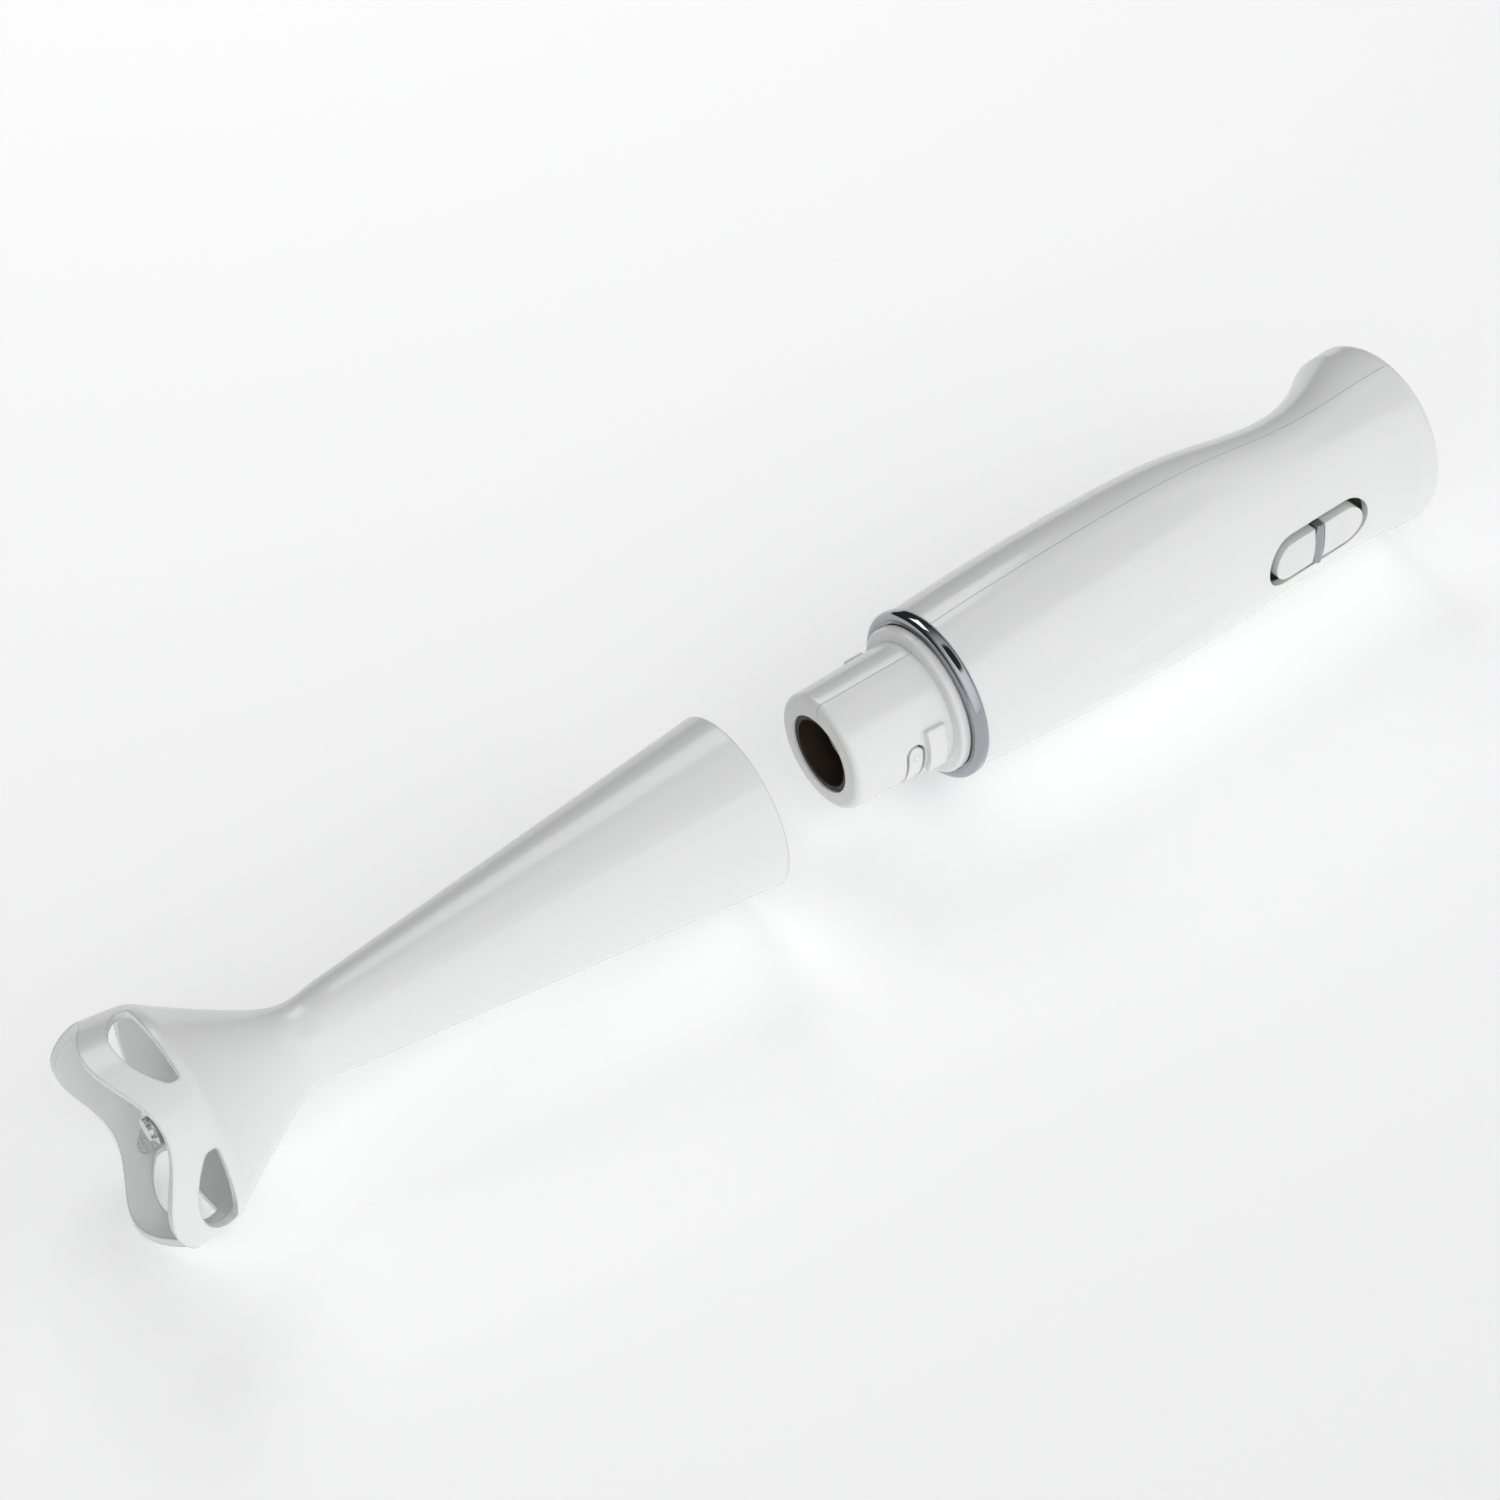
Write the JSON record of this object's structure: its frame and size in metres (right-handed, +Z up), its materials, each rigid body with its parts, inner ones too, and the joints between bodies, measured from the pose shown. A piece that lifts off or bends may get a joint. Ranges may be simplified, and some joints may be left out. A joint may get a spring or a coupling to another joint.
{
  "type": "immersion blender",
  "caption": "Hand-held immersion blender in two units: a motor handle with two side buttons, and a twist-lock blending shaft with a lobed blade guard.",
  "frame": {"origin": "on the surface the blender lies on, under the middle of the two units together", "axes": "+X along the long axis towards the butt of the handle, -X towards the blade guard, -Y the side that the buttons face, +Z up"},
  "size_m": [0.417, 0.0632, 0.0632],
  "materials": {
    "shell_white": "glossy white housing plastic",
    "tube_white": "glossy white food-safe plastic",
    "button_white": "glossy white",
    "chrome": "bright plated",
    "dark_sleeve": "dark brown moulded",
    "stainless": "stainless steel",
    "steel": "zinc plated steel",
    "motor_steel": "zinc plated can",
    "laminated": "varnished laminations",
    "copper": "copper",
    "bronze": "sintered bronze",
    "ferrite": "ferrite",
    "carbon": "carbon brush",
    "black_rubber": "soft rubber",
    "board_green": "circuit board",
    "inner_black": "moulded",
    "nylon_grey": "nylon",
    "yellow_film": "film capacitor case",
    "lead_red": "insulated wire"
  },
  "bodies": {
    "handle": {"front_shell": "shell_white", "rear_shell": "shell_white", "trim_ring": "chrome", "coupling_sleeve": "dark_sleeve", "button_bezel": "chrome", "switch_board": "board_green", "switch_speed": "inner_black", "switch_turbo": "inner_black", "rectifier": "inner_black", "capacitor": "yellow_film", "motor_leads": "lead_red", "cord_gland": "black_rubber", "cord_clamp": "nylon_grey", "clamp_screws": "steel", "housing_screws": "steel", "motor_can": "motor_steel", "motor_end_cap": "inner_black", "motor_bush_front": "bronze", "motor_bush_rear": "bronze", "motor_magnets": "ferrite", "motor_brushes": "carbon", "motor_mount_front": "black_rubber", "motor_mount_rear": "black_rubber"},
    "rotor": {"motor_shaft": "steel", "motor_coupling": "nylon_grey", "armature_stack": "laminated", "armature_windings": "copper", "commutator": "copper", "cooling_fan": "inner_black"},
    "speed_key": {"button_speed": "button_white", "plunger_speed": "inner_black"},
    "turbo_key": {"button_turbo": "button_white", "plunger_turbo": "inner_black"},
    "shaft_carrier": {"upper_bush": "bronze"},
    "blending_shaft": {"shaft_tube": "tube_white", "socket_bulkhead": "tube_white", "lower_bush": "bronze", "shaft_seal": "black_rubber", "seal_retainer": "stainless"},
    "blade_drive": {"drive_coupler": "nylon_grey", "drive_shaft": "stainless", "thrust_washer": "steel", "blade_hub": "stainless", "blade": "stainless", "blade_nut": "stainless"}
  },
  "joints": [
    {"name": "shaft_pull", "type": "slide", "parent": "handle", "child": "shaft_carrier", "axis": [1, 0, 0], "range_m": [0, 0.0622]},
    {"name": "shaft_twist", "type": "hinge", "parent": "shaft_carrier", "child": "blending_shaft", "pos_m": [-0.0248, 0, 0.0316], "axis": [1, 0, 0], "range_deg": [0, 30]},
    {"name": "blade_spin", "type": "hinge", "parent": "shaft_carrier", "child": "blade_drive", "pos_m": [-0.0248, 0, 0.0316], "axis": [1, 0, 0], "continuous": true},
    {"name": "motor_spin", "type": "hinge", "parent": "handle", "child": "rotor", "pos_m": [0.0035, 0, 0.0316], "axis": [1, 0, 0], "continuous": true},
    {"name": "speed_press", "type": "slide", "parent": "handle", "child": "speed_key", "axis": [0, 1, 0], "range_m": [0, 0.0016], "stiffness_N_per_m": 400},
    {"name": "turbo_press", "type": "slide", "parent": "handle", "child": "turbo_key", "axis": [0, 1, 0], "range_m": [0, 0.0016], "stiffness_N_per_m": 400}
  ],
  "couplings": [
    {"joint": "blade_spin", "follows": "motor_spin", "ratio": 1}
  ]
}
